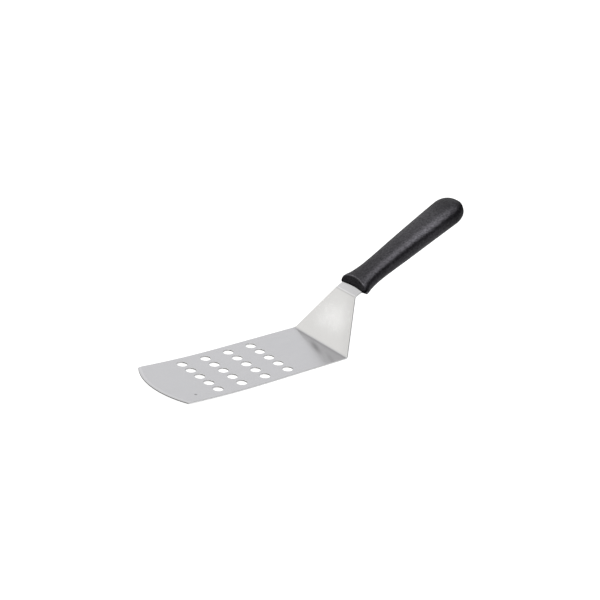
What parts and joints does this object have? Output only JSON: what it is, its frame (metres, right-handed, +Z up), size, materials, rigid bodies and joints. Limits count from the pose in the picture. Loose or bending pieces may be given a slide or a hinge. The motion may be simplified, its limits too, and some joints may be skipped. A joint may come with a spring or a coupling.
{
  "type": "grill spatula",
  "caption": "Cranked grill spatula: a wide perforated stainless blade with a bowed, ground front edge, a tapering riser and a black moulded handle, for turning and draining food.",
  "frame": {"origin": "centre of the spatula's box in X and Y, on the surface that the blade's flat underside rests on", "axes": "+Z up. +X runs from the bowed front edge of the blade towards the butt of the handle. +Y is across the blade, which is mirror-symmetric about the XZ plane"},
  "size_m": [0.3354, 0.0772, 0.1099],
  "materials": {
    "steel": "satin",
    "grip": "matte"
  },
  "bodies": {
    "root": {"blade": "steel", "handle": "grip"}
  },
  "joints": []
}
